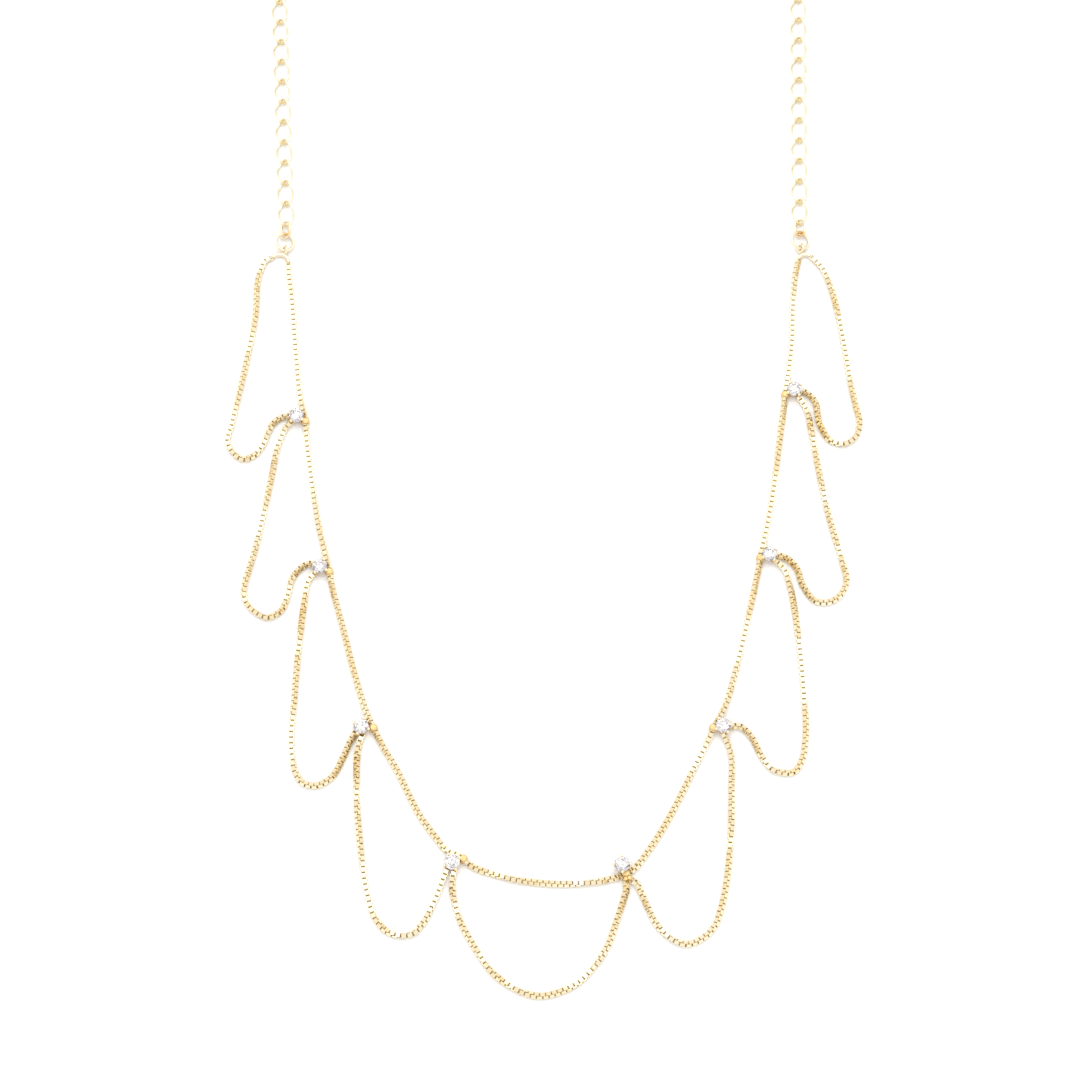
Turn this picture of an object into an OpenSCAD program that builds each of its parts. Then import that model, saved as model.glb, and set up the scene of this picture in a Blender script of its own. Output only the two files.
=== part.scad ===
// A scalloped choker that lies flat: a fine box chain with nine swags of the same chain below it, eight small
// four-claw settings where the swags meet it, and curb chains that close the loop. Z = 0 is the surface it lies on.

/* [Box chain] */
// Width across a strand of box chain
chain_d = 0.86; // [0.8:0.02:0.9]
// Height of a strand's middle above the surface
chain_z = 0.45; // [0.45:0.01:0.5]
// Longest step between the rings of the main strand's tube
main_step = 3.6; // [3:0.1:4]
// Longest step between the rings of a swag's tube
swag_step = 1.7; // [1.5:0.1:2]
// Gap left between a strand and the solder that holds it
strand_gap = 0.1; // [0.06:0.01:0.12]

/* [Curb chain] */
// Length of curb chain that one link adds
curb_pitch = 3.65; // [3.6:0.01:3.7]
// Diameter of the curb link's wire
curb_wire = 0.38; // [0.34:0.01:0.4]
// Half of the link's length, measured along the middle of its wire
curb_half_l = 2.145; // [2.13:0.005:2.16]
// Half of the link's width, measured along the middle of its wire
curb_half_w = 1.18; // [1.1:0.01:1.25]
// How far the twisted link's corners rise and dip
curb_twist = 0.44; // [0.42:0.01:0.46]
// Height of the link's middle above the surface
curb_z = 0.58; // [0.58:0.01:0.62]
// Links on each side of the clasp
curb_links = 25; // [25]
// Where the straight top run of the loop lies
loop_top = 90.95; // [90.5:0.05:91.5]

/* [Rings] */
// Wire of the small oval ring
small_wire = 0.38; // [0.34:0.01:0.4]
// Radius of the oval ring's round ends
small_r = 0.85; // [0.84:0.01:0.87]
// Straight stretch in each side of the oval ring
small_straight = 1.1; // [1:0.05:1.2]
// Wire of the round jump ring
jump_wire = 0.5; // [0.46:0.01:0.52]
// Radius of the jump ring, to the middle of its wire
jump_r = 1.42; // [1.4:0.01:1.44]
// Wire of the eye on the end cap
eye_wire = 0.4; // [0.36:0.01:0.42]
// Radius of the eye, to the middle of its wire
eye_r = 0.62; // [0.6:0.01:0.64]

/* [Stones] */
// Diameter of the stone at its girdle
stone_d = 2.3; // [2.2:0.05:2.3]
// Height of the girdle's lower edge above the setting's foot
girdle_z = 1.34; // [1.32:0.01:1.4]
// Width of the table as a share of the stone's diameter
table_share = 0.57; // [0.53:0.01:0.62]
// Gap between the stone and the metal that holds it
stone_gap = 0.05; // [0.04:0.01:0.06]

/* [Settings] */
// Outer radius of the foot ring
foot_r = 0.56; // [0.52:0.01:0.58]
// Height of the foot ring
foot_h = 0.34; // [0.28:0.02:0.4]
// Diameter of the claw wire
claw_d = 0.36; // [0.32:0.02:0.38]
// Radius of the bead that closes each claw over the stone
claw_bead_r = 0.25; // [0.22:0.01:0.26]
// Radius of the solder bead over the main strand
solder_r = 0.66; // [0.62:0.01:0.7]
// Radius of the solder at a swag's end
lug_r = 0.42; // [0.4:0.01:0.44]

/* [Clasp] */
// Width of the clasp
clasp_w = 3; // [2.8:0.1:3]
// Height of the clasp
clasp_h = 1.7; // [1.5:0.1:1.8]

/* [Hidden] */
$fn = 48;
GOLD = "gold";
CLEAR = "lightcyan";
LEFT = 0;
RIGHT = 1;
SIDE = [-1, 1];
STRAND_SIDES = 8;
CURB_STEPS = 12;
CURB_SIDES = 6;
SPAN_STEPS = 12;

// The main strand's route, from the left end cap round the front to the right end cap
MAIN = [
    [-40.1, 23.6], [-40, 22], [-39.5, 18.5], [-38.5, 8.5], [-37.5, 0.5], [-36.7, -2.8], [-36.4, -6], [-35.5, -12.5],
    [-34, -21], [-32.4, -27.5], [-32, -29.5], [-30, -37], [-28, -44.5], [-26, -50.5], [-23.5, -55.5], [-22, -58],
    [-17.5, -66.5], [-16, -68.5], [-14, -70.8], [-12.5, -71.4], [-10.5, -73], [-6.5, -74.5], [-1, -75.5],
    [6.5, -75.5], [9.5, -75], [11.5, -74.4], [13, -73.5], [15, -71], [17, -68], [22, -58.5], [24, -54.5],
    [25, -52.2], [26.5, -49.5], [28.5, -43.5], [30, -37.5], [32.3, -27.5], [32.8, -25], [34.5, -17], [36.5, -4],
    [37.3, 1.5], [38.5, 10], [39, 18], [39.5, 22], [40.1, 24.5]
];
// The routes of the nine swags, from left to right; each starts and ends at the metal that holds it
SWAGS = [
    [[-42.7, 24.5], [-43.5, 24.2], [-44.3, 22.5], [-45, 14], [-46, 7], [-47, 1.5], [-48, -4], [-48.5, -6.5],
        [-47.5, -8.5], [-46, -9.5], [-44.5, -9], [-43, -7], [-42.5, -5.5], [-41.5, -3.5], [-40, -2.5], [-38.5, -2.4]],
    [[-38.6, -3], [-39.6, -4.2], [-40.5, -6.5], [-41.5, -12], [-42.5, -18], [-43.5, -23.5], [-44.5, -27.5],
        [-45, -29.5], [-45, -32], [-43.5, -34], [-41.5, -35], [-39.5, -34], [-38.5, -31.5], [-38, -29],
        [-37, -27.5], [-35.5, -26.5], [-34, -26.8]],
    [[-34, -27.6], [-35.1, -28.6], [-36, -33], [-36.5, -38.5], [-37, -47], [-37, -57], [-36.5, -59], [-35.5, -60.5],
        [-33.5, -61], [-31.5, -60], [-29.5, -56.5], [-28.6, -54.3], [-27.6, -52.6]],
    [[-26.7, -52.7], [-27.2, -54.5], [-27.5, -61.5], [-27, -68], [-26.5, -72], [-25.5, -77.5], [-24.5, -80.5],
        [-22, -83], [-19, -83], [-17.5, -81.5], [-16, -78.5], [-14.7, -75], [-14, -73.1]],
    [[-12.9, -73], [-13.3, -75.5], [-12.5, -80], [-10, -85], [-7, -89], [-5, -90.5], [-3, -91.5], [-0.5, -92],
        [2, -91.5], [5, -90], [7, -88], [9, -85], [10.5, -81], [11.5, -78], [11.9, -76.5], [11.7, -75]],
    [[12.4, -75.1], [13.3, -75.5], [14, -76.8], [14.7, -78.5], [16.5, -82], [18, -83.5], [20.5, -84.5], [23, -83.5], [24.5, -82],
        [25.5, -79.5], [26.5, -75], [27, -71], [27.5, -61], [27.5, -56], [26.5, -53]],
    [[26.7, -52.3], [29, -52], [30.5, -53.5], [32, -56.5], [33.5, -58.5], [35, -59], [36.5, -59], [38, -57],
        [38.5, -54.5], [38.5, -46], [38, -38], [37.5, -33], [37, -30], [36, -27], [34.3, -25.6]],
    [[34.4, -25], [36.5, -25.5], [38, -27], [39, -30], [41, -32.5], [43, -32.5], [44.5, -31.5], [45.5, -29.5],
        [45, -26], [44, -22], [43, -17.5], [42, -11.5], [41, -4.5], [40.5, -1.5], [39, 1.2]],
    [[39, 2], [40.5, 1.5], [41.5, 0.5], [42.5, -4], [44, -6.5], [46, -7], [48, -5.5], [48.5, -3], [48, -0.5],
        [47.5, 2.5], [46.5, 10.5], [46, 14], [45, 19], [43.5, 23], [42, 24.7]]
];
// The settings from left to right: where the foot stands, how the claws are turned, how far and which way it leans,
// how far along the main strand from its nearest point the solder sits, and whether the two swags are soldered on
// beyond the main strand instead of to the foot
X = 0;
Y = 1;
TURN = 2;
LEAN = 3;
TOWARDS = 4;
ONWARD = 5;
BEYOND = 6;
SETTINGS = [
    [-37.95, -2.6, 52, 3, 200, 1.1, false],
    [-33.7, -27.2, 58, 3, 180, 0.9, false],
    [-26.95, -52.1, 68, 5, 250, 1, false],
    [-13.3, -72.4, 26, 10, 260, 1.4, false],
    [11.3, -73.2, 2, 8, 90, 0, true],
    [26.4, -52, 30, 4, 300, -0.8, false],
    [33.95, -25.2, 32, 3, 0, -0.6, false],
    [38.55, 1.8, 33, 3, 330, -1.1, false]
];
// The end caps: where the arched bar meets the main strand's end and the outer swag's end, and its radius
CAPS = [
    [[-40.1, 23.7], [-42.6, 24.6], 1.42],
    [[40.1, 24.3], [41.8, 24.75], 0.95]
];
CAP_WIRE = 0.68;
CAP_HOLD = 0.2;
SETTING_HOLD = 1.2;
BEYOND_HOLD = 1.3;
SOLDER_HALF = 0.9;
// The curb chains: where the first link starts, how far the chain leans outward, and its straight length
START_X = 0;
START_Y = 1;
OUTWARD = 2;
STRAIGHT = 3;
CURBS = [
    [40.62, 30.27, 3.4, 40.6],
    [40.33, 30.58, 1.5, 41.1]
];
// Poses of the rings below the first curb link: distance along the chain, height and roll
ALONG = 0;
HEIGHT = 1;
ROLL = 2;
SMALL_POSE = [2.865, 0.69, 35];
JUMP_POSE = [5, 0.7, -18];
EYE_POSE = [6.36, 0.72, 55];
CLASP_EYE_POSE = [2.165, 0.66, 40];
CLASP_EYE_R = 0.7;
CLASP_EYE_REACH = 0.52;
CLASP_CORNER = 0.9;
CLASP_CROWN = 1.9;

strand_room = chain_d / 2 + 0.06;
crown_h = 0.16 * stone_d;
girdle_h = 0.03 * stone_d;
pavilion_h = 0.43 * stone_d;
table_r = table_share * stone_d / 2;
girdle_top = girdle_z + girdle_h;
foot_wall = 0.22;
claw_foot_r = foot_r - 0.14;
claw_foot_z = 0.1;
claw_top_r = stone_d / 2 + 0.05;
claw_top_z = girdle_top + 0.14;
seat_ring_r = 0.87;
seat_ring_z = 0.92;
seat_wire = 0.24;
solder_bar_r = 0.22;
solder_bar_z = 0.3;
solder_h = 1.05;
lug_h = 0.88;
solder_foot = 0.02;

// Smooth curve through hand-chosen points: each span is a cubic whose end slopes weigh the two chords beside it
function chord(p, i) = norm(p[i + 1] - p[i]);
function chord_slope(p, i) = (p[i + 1] - p[i]) / chord(p, i);
function inner_slope(p, i) =
    (chord_slope(p, i - 1) * chord(p, i) + chord_slope(p, i) * chord(p, i - 1)) / (chord(p, i - 1) + chord(p, i));
function slope(p, i) =
    i == 0 ? 1.5 * chord_slope(p, 0) - 0.5 * inner_slope(p, 1)
    : i == len(p) - 1 ? 1.5 * chord_slope(p, i - 1) - 0.5 * inner_slope(p, i - 1)
    : inner_slope(p, i);
function span_point(p, i, u) =
    p[i] * (1 - 3 * u * u + 2 * u * u * u)
    + p[i + 1] * (3 * u * u - 2 * u * u * u)
    + slope(p, i) * chord(p, i) * (u - 2 * u * u + u * u * u)
    + slope(p, i + 1) * chord(p, i) * (u * u * u - u * u);
function curve(p) = [
    for (i = [0 : len(p) - 2], k = [0 : SPAN_STEPS - 1]) span_point(p, i, k / SPAN_STEPS),
    p[len(p) - 1]
];
// Distance along a curve at each of its samples
function reach(c) = [
    for (i = 0, s = 0; i < len(c); s = s + (i + 1 < len(c) ? norm(c[i + 1] - c[i]) : 0), i = i + 1) s
];
// A route ready to be walked: distance against x, and distance against y
function route(c) = let (s = reach(c)) [
    [for (i = [0 : len(c) - 1]) [s[i], c[i].x]],
    [for (i = [0 : len(c) - 1]) [s[i], c[i].y]]
];
function at(r, s) = [lookup(s, r[0]), lookup(s, r[1])];
function foot(k) = [SETTINGS[k][X], SETTINGS[k][Y]];
// Distance along a route where it passes nearest to a point
function nearest(r, p) =
    let (d = [for (i = [0 : len(r[0]) - 1]) norm([r[0][i][1], r[1][i][1]] - p)], low = min(d))
    [for (i = [0 : len(d) - 1]) if (d[i] == low) r[0][i][0]][0];
// Distances along a route that lie outside a circle round a point
function outside(r, p, hold) = [for (i = [0 : len(r[0]) - 1]) if (norm([r[0][i][1], r[1][i][1]] - p) > hold) r[0][i][0]];
// Even steps from a to b, no longer than step, without b itself
function steps(a, b, step) = let (n = ceil((b - a) / step)) [for (i = [0 : n - 1]) a + (b - a) * i / n];

main_route = route(curve(MAIN));
main_low = outside(main_route, CAPS[LEFT][0], CAP_HOLD)[0];
main_spots = [for (k = [0 : 7]) nearest(main_route, foot(k)) + SETTINGS[k][ONWARD]];
main_outside = outside(main_route, CAPS[RIGHT][0], CAP_HOLD);
main_high = main_outside[len(main_outside) - 1];
// The tube has a ring on each side of every solder bead, so that it runs straight through the bead
main_stops = [
    for (k = [0 : 7])
        each concat(
            steps(k == 0 ? main_low : main_spots[k - 1] + SOLDER_HALF, main_spots[k] - SOLDER_HALF, main_step),
            [main_spots[k] - SOLDER_HALF]),
    each steps(main_spots[7] + SOLDER_HALF, main_high, main_step),
    main_high
];
main_line = [for (s = main_stops) at(main_route, s)];

// Middle of the main strand's straight stretch beside a setting
function main_spot(k) =
    (at(main_route, main_spots[k] - SOLDER_HALF) + at(main_route, main_spots[k] + SOLDER_HALF)) / 2;
// What the swags at a setting are soldered to: its foot, or the bead on the main strand
function holder(k) = SETTINGS[k][BEYOND] ? main_spot(k) : foot(k);
anchors = [CAPS[LEFT][1], for (k = [0 : 7]) holder(k), CAPS[RIGHT][1]];
holds = [CAP_HOLD, for (k = [0 : 7]) SETTINGS[k][BEYOND] ? BEYOND_HOLD : SETTING_HOLD, CAP_HOLD];
function swag_line(k) =
    let (
        r = route(curve(SWAGS[k])),
        half = r[0][len(r[0]) - 1][0] / 2,
        from = [for (s = outside(r, anchors[k], holds[k])) if (s < half) s][0],
        past = outside(r, anchors[k + 1], holds[k + 1]),
        to = past[len(past) - 1]
    )
    [for (s = concat(steps(from, to, swag_step), [to])) at(r, s)];

// Walks along a flat line of points: the way each leg runs, and the way that halves the turn at each point
function unit(v) = v / norm(v);
function leg_way(line, i) = unit(line[i + 1] - line[i]);
function point_way(line, i) =
    i == 0 ? leg_way(line, 0)
    : i == len(line) - 1 ? leg_way(line, i - 1)
    : unit(leg_way(line, i - 1) + leg_way(line, i));
function last(list) = list[len(list) - 1];
function raised(p, z) = [p.x, p.y, z];

// Tube round a flat line of points, with mitred rings and closed ends
module strand(line) {
    n = STRAND_SIDES;
    end = len(line) - 1;
    points = [
        for (i = [0 : end], j = [0 : n - 1])
            let (
                t = point_way(line, i),
                mitre = t * leg_way(line, min(i, end - 1)),
                out = chain_d / 2 * cos(360 * j / n) / mitre,
                up = chain_d / 2 * sin(360 * j / n)
            )
            [line[i].x - t.y * out, line[i].y + t.x * out, chain_z + up]
    ];
    sides = [
        for (i = [0 : end - 1], j = [0 : n - 1])
            let (a = i * n, b = a + n, k = (j + 1) % n)
            [a + j, b + j, b + k, a + k]
    ];
    caps = [
        [for (j = [0 : n - 1]) j],
        [for (j = [n - 1 : -1 : 0]) end * n + j]
    ];
    polyhedron(points, concat(sides, caps));
}

module main_chain() color(GOLD) strand(main_line);

module swag(k) color(GOLD) strand(swag_line(k));

// Lays what is drawn along Z from one point to another
module laid_from(p, q) {
    way = q - p;
    translate(p)
        rotate([0, acos(way.z / norm(way)), atan2(way.y, way.x)])
            children();
}

// Straight round bar with flat ends
module bar(p, q, r) laid_from(p, q) cylinder(h = norm(q - p), r = r);

// Ring round Z at the origin
module torus(r, wire) rotate_extrude() translate([r, 0]) circle(d = wire);

// Stands a basket or a stone on its foot, turned and leaning, with the foot ring's low side on the surface
module on_foot(k) {
    s = SETTINGS[k];
    translate([s[X], s[Y], foot_r * sin(s[LEAN])])
        rotate(s[LEAN], [-sin(s[TOWARDS]), cos(s[TOWARDS]), 0])
            rotate(s[TURN])
                children();
}

// Foot ring, seat ring and four claws that close over the stone with beads
module basket() {
    difference() {
        cylinder(h = foot_h, r = foot_r);
        translate([0, 0, -1]) cylinder(h = foot_h + 2, r = foot_r - foot_wall);
    }
    translate([0, 0, seat_ring_z]) torus(seat_ring_r, seat_wire);
    foot_end = [claw_foot_r, 0, claw_foot_z];
    top_end = [claw_top_r, 0, claw_top_z];
    for (a = [0 : 90 : 270]) rotate(a)
        laid_from(foot_end, top_end) {
            cylinder(h = norm(top_end - foot_end), d = claw_d);
            translate([0, 0, norm(top_end - foot_end)]) sphere(claw_bead_r);
        }
}

// Room for the stone, a little larger than the stone all round
module stone_room() {
    r = stone_d / 2 + stone_gap;
    top = girdle_top + crown_h + stone_gap;
    rotate_extrude()
        polygon([
            [0, girdle_z - pavilion_h - 1.3 * stone_gap],
            [r, girdle_z],
            [r, girdle_top],
            [table_r + stone_gap, top],
            [table_r + stone_gap, top + 1],
            [0, top + 1]
        ]);
}

// Flat-bottomed drop of solder, steep at the side and sloping at the top
module drop(p, r, h)
    translate([p.x, p.y, 0])
        rotate_extrude()
            polygon([
                [0, solder_foot],
                [0.7 * r, solder_foot],
                [r, 0.25 * h],
                [r, 0.6 * h],
                [0.6 * r, h],
                [0, h]
            ]);

// Solder over the main strand and at the ends of the two swags, each joined to what holds it
module solder(k) {
    on_foot_ring = foot_r - foot_wall / 2;
    on_bead = (strand_room + solder_r) / 2;
    drop(main_spot(k), solder_r, solder_h);
    solder_bar(foot(k), on_foot_ring, main_spot(k));
    for (e = swag_ends(k)) {
        lug = e[0] + e[1] * (strand_gap + lug_r);
        drop(lug, lug_r, lug_h);
        solder_bar(holder(k), SETTINGS[k][BEYOND] ? on_bead : on_foot_ring, lug);
    }
}

// Solder from a point, starting at a distance from it, to another point
module solder_bar(from, edge, p)
    bar(raised(from + unit(p - from) * edge, solder_bar_z), raised(p, chain_z), solder_bar_r);

// The ends of the two swags that meet at a setting: each its last point and the way on from it
function swag_ends(k) =
    let (left = swag_line(k), right = swag_line(k + 1))
    [
        [last(left), leg_way(left, len(left) - 2)],
        [right[0], -leg_way(right, 0)]
    ];

// Room for the strands that the solder holds
module strand_rooms(k) {
    way = unit(at(main_route, main_spots[k] + SOLDER_HALF) - main_spot(k));
    laid_from(raised(main_spot(k) - way * 1.2, chain_z), raised(main_spot(k), chain_z))
        cylinder(h = 2.4, r = strand_room);
    for (e = swag_ends(k))
        laid_from(raised(e[0] + e[1] * strand_gap, chain_z), raised(e[0], chain_z))
            cylinder(h = swag_step, r = strand_room);
}

module setting(k)
    color(GOLD)
        difference() {
            union() {
                on_foot(k) basket();
                solder(k);
            }
            on_foot(k) stone_room();
            strand_rooms(k);
        }

// Points of one ring of a stone's corners
function corners(n, r, z, first) = [for (i = [0 : n - 1]) [r * cos(first + 360 * i / n), r * sin(first + 360 * i / n), z]];

// Round brilliant: an eight-sided table, eight stars, eight kites and sixteen halves above the girdle, sixteen
// halves and eight kites below it
module brilliant() {
    r = stone_d / 2;
    half = 22.5;
    crown_slope = crown_h / (r - table_r);
    star_r = (table_r + r) / 2 + 0.04 * r;
    star_z = girdle_top + (r - star_r * cos(half)) * crown_slope;
    low_r = 0.22 * r;
    low_z = girdle_z - (r - low_r * cos(half)) * pavilion_h / r;
    points = concat(
        corners(8, table_r, girdle_top + crown_h, 0),
        corners(8, star_r, star_z, half),
        corners(16, r, girdle_top, 0),
        corners(16, r, girdle_z, 0),
        corners(8, low_r, low_z, half),
        [[0, 0, girdle_z - pavilion_h]]
    );
    STAR = 8;
    TOP = 16;
    LOW = 32;
    HALF = 48;
    CULET = 56;
    faces = concat(
        [[for (i = [7 : -1 : 0]) i]],
        [for (i = [0 : 7]) [i, (i + 1) % 8, STAR + i]],
        [for (i = [0 : 7]) [i, STAR + i, TOP + 2 * i, STAR + (i + 7) % 8]],
        [for (i = [0 : 7], j = [0, 1]) [STAR + i, TOP + (2 * i + j + 1) % 16, TOP + 2 * i + j]],
        [for (j = [0 : 15]) let (k = (j + 1) % 16) [LOW + j, TOP + j, TOP + k, LOW + k]],
        [for (i = [0 : 7], j = [0, 1]) [HALF + i, LOW + 2 * i + j, LOW + (2 * i + j + 1) % 16]],
        [for (i = [0 : 7]) [CULET, HALF + (i + 7) % 8, LOW + 2 * i, HALF + i]]
    );
    polyhedron(points, faces);
}

module stone(k) color(CLEAR) on_foot(k) brilliant();

// Point of a curb chain's middle line at a distance from its front end: straight, round the corner, along the top
function curb_at(side, s) =
    let (
        c = CURBS[side],
        way = [sin(c[OUTWARD]), cos(c[OUTWARD])],
        inward = [-way.y, way.x],
        corner = [c[START_X], c[START_Y]] + way * c[STRAIGHT],
        r = (loop_top - corner.y) / (1 + way.x),
        bend = 90 + c[OUTWARD],
        turned = min(max((s - c[STRAIGHT]) / r * 180 / PI, 0), bend),
        past = s - c[STRAIGHT] - r * bend * PI / 180,
        p = s < c[STRAIGHT] ? corner - way * (c[STRAIGHT] - s)
            : corner + inward * r + (way * sin(turned) - inward * cos(turned)) * r - [max(past, 0), 0]
    )
    [SIDE[side] * p.x, p.y];
function link_middle(side, i) = (curb_at(side, i * curb_pitch) + curb_at(side, (i + 1) * curb_pitch)) / 2;
function link_turn(side, i) =
    let (d = curb_at(side, (i + 1) * curb_pitch) - curb_at(side, i * curb_pitch))
    atan2(d.y, d.x) - 90;

// Twisted curb link along Y: a rounded diamond whose corners rise on one side of each end and dip on the other
module curb_link() {
    n = CURB_SIDES;
    middle = [
        for (i = [0 : CURB_STEPS - 1])
            let (t = 360 * i / CURB_STEPS)
            [
                curb_half_w * sign(sin(t)) * pow(abs(sin(t)), 1.25),
                curb_half_l * sign(cos(t)) * pow(abs(cos(t)), 1.25),
                curb_twist * sin(2 * t)
            ]
    ];
    points = [
        for (i = [0 : CURB_STEPS - 1], j = [0 : n - 1])
            let (
                way = unit(middle[(i + 1) % CURB_STEPS] - middle[(i + CURB_STEPS - 1) % CURB_STEPS]),
                out = unit(cross(way, [0, 0, 1])),
                up = cross(out, way)
            )
            middle[i] + curb_wire / 2 * (cos(360 * j / n) * out + sin(360 * j / n) * up)
    ];
    faces = [
        for (i = [0 : CURB_STEPS - 1], j = [0 : n - 1])
            let (a = i * n, b = (i + 1) % CURB_STEPS * n, k = (j + 1) % n)
            each [[a + j, a + k, b + k], [a + j, b + k, b + j]]
    ];
    polyhedron(points, faces);
}

module curb(side)
    color(GOLD)
        for (i = [0 : curb_links - 1])
            translate(raised(link_middle(side, i), curb_z))
                rotate(link_turn(side, i))
                    curb_link();

// Places a ring below the first curb link, hanging straight towards the front
module below_chain(side, pose)
    translate([link_middle(side, 0).x, link_middle(side, 0).y - pose[ALONG], pose[HEIGHT]])
        rotate([0, -pose[ROLL], 0])
            children();

// Oval ring: two round ends and two straight sides
module small_ring(side)
    color(GOLD)
        below_chain(side, SMALL_POSE)
            for (m = [0, 1]) mirror([0, m, 0]) {
                translate([0, small_straight / 2, 0])
                    rotate_extrude(angle = 180) translate([small_r, 0]) circle(d = small_wire);
                for (x = [-small_r, small_r])
                    translate([x, 0, 0]) rotate([-90, 0, 0]) cylinder(h = small_straight / 2, d = small_wire);
            }

module jump_ring(side) color(GOLD) below_chain(side, JUMP_POSE) torus(jump_r, jump_wire);

// Arched bar from the main strand's end to the outer swag's end, with the eye soldered to it
module end_cap(side) {
    from = CAPS[side][0];
    to = CAPS[side][1];
    r = CAPS[side][2];
    half = (to - from) / 2;
    down = [half.y, -half.x] * (half.x > 0 ? 1 : -1);
    centre = from + half + unit(down) * sqrt(r * r - half * half);
    spread = 2 * asin(norm(half) / r);
    left_end = half.x > 0 ? from : to;
    first = atan2(left_end.y - centre.y, left_end.x - centre.x) - spread;
    color(GOLD) {
        below_chain(side, EYE_POSE) torus(eye_r, eye_wire);
        translate(raised(centre, chain_z))
            rotate(first)
                rotate_extrude(angle = spread) translate([r, 0]) circle(d = CAP_WIRE);
    }
}

// Plain closed clasp with a crowned top, a flat underside and an eye at each end for the last curb link
module clasp() {
    tip_l = curb_at(LEFT, curb_links * curb_pitch);
    tip_r = curb_at(RIGHT, curb_links * curb_pitch);
    past_tip = CLASP_EYE_POSE[ALONG] - curb_pitch / 2;
    eyes = [tip_l.x + past_tip, tip_r.x - past_tip];
    low = eyes[0] + CLASP_EYE_REACH;
    high = eyes[1] - CLASP_EYE_REACH;
    color(GOLD) {
        for (e = [0, 1])
            translate([eyes[e], loop_top, CLASP_EYE_POSE[HEIGHT]])
                rotate([SIDE[e] * -CLASP_EYE_POSE[ROLL], 0, 0])
                    torus(CLASP_EYE_R, eye_wire);
        intersection() {
            translate([low, loop_top, 0]) linear_extrude(clasp_h) clasp_outline(high - low);
            translate([low - 1, loop_top, clasp_h - CLASP_CROWN])
                rotate([0, 90, 0]) cylinder(h = high - low + 2, r = CLASP_CROWN);
        }
    }
}

module clasp_outline(length) {
    translate([CLASP_CORNER, -clasp_w / 2]) square([length - 2 * CLASP_CORNER, clasp_w]);
    translate([0, CLASP_CORNER - clasp_w / 2]) square([length, clasp_w - 2 * CLASP_CORNER]);
    for (x = [CLASP_CORNER, length - CLASP_CORNER], y = [-1, 1])
        translate([x, y * (clasp_w / 2 - CLASP_CORNER)]) circle(CLASP_CORNER);
}

main_chain();
for (k = [0 : 8]) swag(k);
for (k = [0 : 7]) setting(k);
for (k = [0 : 7]) stone(k);
end_cap(LEFT);  // end_cap_left
end_cap(RIGHT);  // end_cap_right
jump_ring(LEFT);  // jump_ring_left
jump_ring(RIGHT);  // jump_ring_right
small_ring(LEFT);  // small_ring_left
small_ring(RIGHT);  // small_ring_right
curb(LEFT);  // curb_left
curb(RIGHT);  // curb_right
clasp();
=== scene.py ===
"""Looks of a scalloped box-chain choker that lies flat on a pale surface.

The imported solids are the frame. The strands of box chain and the curb chains are rebuilt here link by link
as numpy surfaces, and every other solid keeps its mesh and gets its finish. All lengths are metres, in the
solids' frame.
"""

import logging
from dataclasses import dataclass, field
from enum import Enum

import bpy
import numpy as np
from mathutils import Matrix
from numpy.typing import NDArray

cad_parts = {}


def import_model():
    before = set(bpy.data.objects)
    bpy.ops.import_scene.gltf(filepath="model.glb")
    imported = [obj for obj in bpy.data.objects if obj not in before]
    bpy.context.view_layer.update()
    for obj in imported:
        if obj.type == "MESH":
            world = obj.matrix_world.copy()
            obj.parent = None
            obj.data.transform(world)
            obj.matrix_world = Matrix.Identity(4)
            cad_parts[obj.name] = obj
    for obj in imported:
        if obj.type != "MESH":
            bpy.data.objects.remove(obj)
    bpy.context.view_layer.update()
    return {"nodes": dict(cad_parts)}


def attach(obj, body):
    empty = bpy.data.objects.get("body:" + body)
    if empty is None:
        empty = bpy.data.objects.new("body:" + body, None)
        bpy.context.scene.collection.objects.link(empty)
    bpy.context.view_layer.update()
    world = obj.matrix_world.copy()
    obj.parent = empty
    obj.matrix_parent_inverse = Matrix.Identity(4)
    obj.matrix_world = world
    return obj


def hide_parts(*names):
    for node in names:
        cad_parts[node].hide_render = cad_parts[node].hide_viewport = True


log = logging.getLogger("choker")

Array = NDArray[np.float64]
Table = tuple[tuple[float, ...], ...]
Socket = bpy.types.NodeSocket

MM = 0.001
UP = np.array([0.0, 0.0, 1.0])


class Slot(Enum):
    """The record's material slots for metal, each also the name of its finish."""

    CHAIN = "chain_gold"
    CURB = "curb_gold"
    SETTING = "setting_gold"
    FITTING = "fitting_gold"


class Side(Enum):
    """The two sides of the choker, and the sign of X on each."""

    LEFT = -1
    RIGHT = 1


class Hold(Enum):
    """What a strand's end is held by, and how far from its middle the links stop."""

    CAP = 0.00024
    FOOT = 0.00112
    BEAD = 0.00122


# Where something that holds a strand's end stands, as X and Y, and what it is
Holder = tuple[float, float, Hold]

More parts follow.
